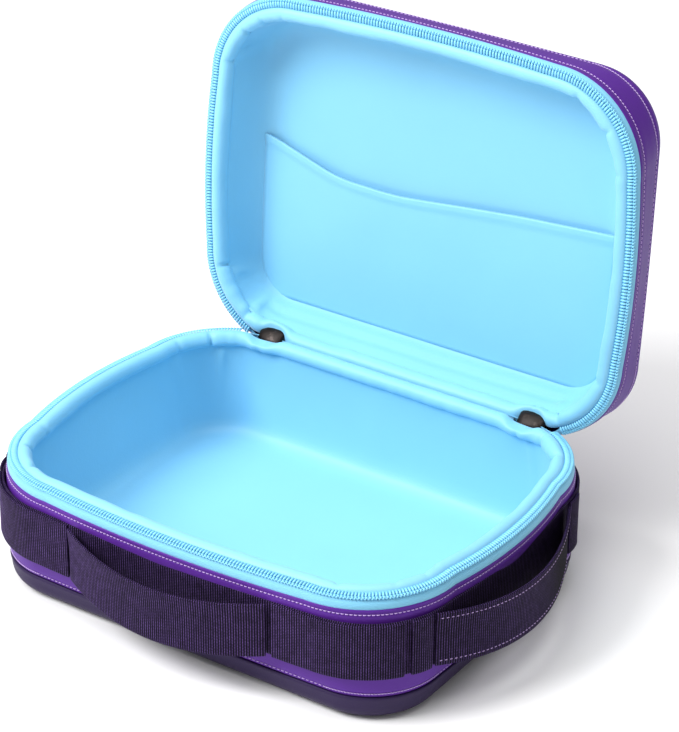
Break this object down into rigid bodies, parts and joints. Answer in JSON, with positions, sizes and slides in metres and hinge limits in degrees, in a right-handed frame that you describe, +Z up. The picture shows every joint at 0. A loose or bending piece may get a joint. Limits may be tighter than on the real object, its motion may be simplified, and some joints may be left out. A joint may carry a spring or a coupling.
{
  "type": "lunch box",
  "caption": "Soft-sided rectangular lunch box with a zip-round lid standing open on a fabric hinge, webbing belt, front and side handles and a pocket in the lid.",
  "frame": {"origin": "middle of the base's resting face, under the middle of the rim's length", "axes": "+X along the box to the right as seen from its front, +Y from the front to the hinge, +Z up"},
  "size_m": [0.292, 0.2667, 0.257],
  "materials": {
    "base": "moulded dark purple base with a fine grain",
    "cover": "coated purple fabric, satin",
    "liner": "smooth coated light blue liner",
    "zip": "light blue woven tape and moulded coil",
    "foam": "closed-cell foam",
    "board": "plain stiffener sheet",
    "webbing": "near-black violet ribbed webbing",
    "zip_metal": "dark enamel"
  },
  "bodies": {
    "tub": {"base_shell": "base", "body_wall": "cover", "body_liner": "liner", "body_zip_tape": "zip", "body_zip_coil": "zip", "body_hinge_tape": "zip", "body_foam": "foam", "floor_foam": "foam", "base_board": "board", "belt": "webbing", "front_strap_left": "webbing", "front_strap_right": "webbing", "left_front_anchor": "webbing", "left_rear_anchor": "webbing", "right_front_anchor": "webbing", "right_rear_anchor": "webbing"},
    "lid": {"lid_wall": "cover", "lid_top": "cover", "lid_board": "board", "lid_foam_top": "foam", "lid_foam_wall": "foam", "lid_liner": "liner", "pocket_panel": "liner", "pocket_hem": "liner", "lid_zip_tape": "zip", "lid_zip_coil": "zip", "lid_hinge_tape": "zip"},
    "front_handle": {"front_handle": "webbing"},
    "left_handle": {"left_handle": "webbing"},
    "right_handle": {"right_handle": "webbing"},
    "zip_end_left": {"zip_stop_left": "zip_metal"},
    "slider_left": {"slider_left": "zip_metal"},
    "pull_left": {"pull_left": "zip_metal"},
    "zip_end_right": {"zip_stop_right": "zip_metal"},
    "slider_right": {"slider_right": "zip_metal"},
    "pull_right": {"pull_right": "zip_metal"}
  },
  "joints": [
    {"name": "lid_hinge", "type": "hinge", "parent": "tub", "child": "lid", "pos_m": [0, 0.0949, 0.0625], "axis": [-1, 0, 0], "range_deg": [-94.35, 0]},
    {"name": "front_handle_swing", "type": "hinge", "parent": "tub", "child": "front_handle", "pos_m": [0, -0.10268, 0.0568], "axis": [-1, 0, 0], "range_deg": [0, 75]},
    {"name": "right_handle_swing", "type": "hinge", "parent": "tub", "child": "right_handle", "pos_m": [0.1281, -0.00694, 0.0568], "axis": [-0.0212, -0.9998, 0], "range_deg": [0, 75]},
    {"name": "left_handle_swing", "type": "hinge", "parent": "tub", "child": "left_handle", "pos_m": [-0.1281, -0.00694, 0.0568], "axis": [-0.0212, 0.9998, 0], "range_deg": [0, 75]},
    {"name": "zip_end_left_swing", "type": "hinge", "parent": "tub", "child": "zip_end_left", "pos_m": [0, 0.0949, 0.0625], "axis": [-1, 0, 0], "range_deg": [-47.17, 0]},
    {"name": "slider_left_slide", "type": "slide", "parent": "zip_end_left", "child": "slider_left", "axis": [-1, 0, 0], "range_m": [0, 0.004]},
    {"name": "pull_left_swing", "type": "hinge", "parent": "slider_left", "child": "pull_left", "pos_m": [-0.081, 0.10502, 0.05879], "axis": [1, 0, 0], "range_deg": [-8, 60]},
    {"name": "zip_end_right_swing", "type": "hinge", "parent": "tub", "child": "zip_end_right", "pos_m": [0, 0.0949, 0.0625], "axis": [-1, 0, 0], "range_deg": [-47.17, 0]},
    {"name": "slider_right_slide", "type": "slide", "parent": "zip_end_right", "child": "slider_right", "axis": [1, 0, 0], "range_m": [0, 0.004]},
    {"name": "pull_right_swing", "type": "hinge", "parent": "slider_right", "child": "pull_right", "pos_m": [0.081, 0.10502, 0.05879], "axis": [1, 0, 0], "range_deg": [-8, 60]}
  ],
  "couplings": [
    {"joint": "zip_end_left_swing", "follows": "lid_hinge", "ratio": 0.5},
    {"joint": "zip_end_right_swing", "follows": "lid_hinge", "ratio": 0.5}
  ]
}
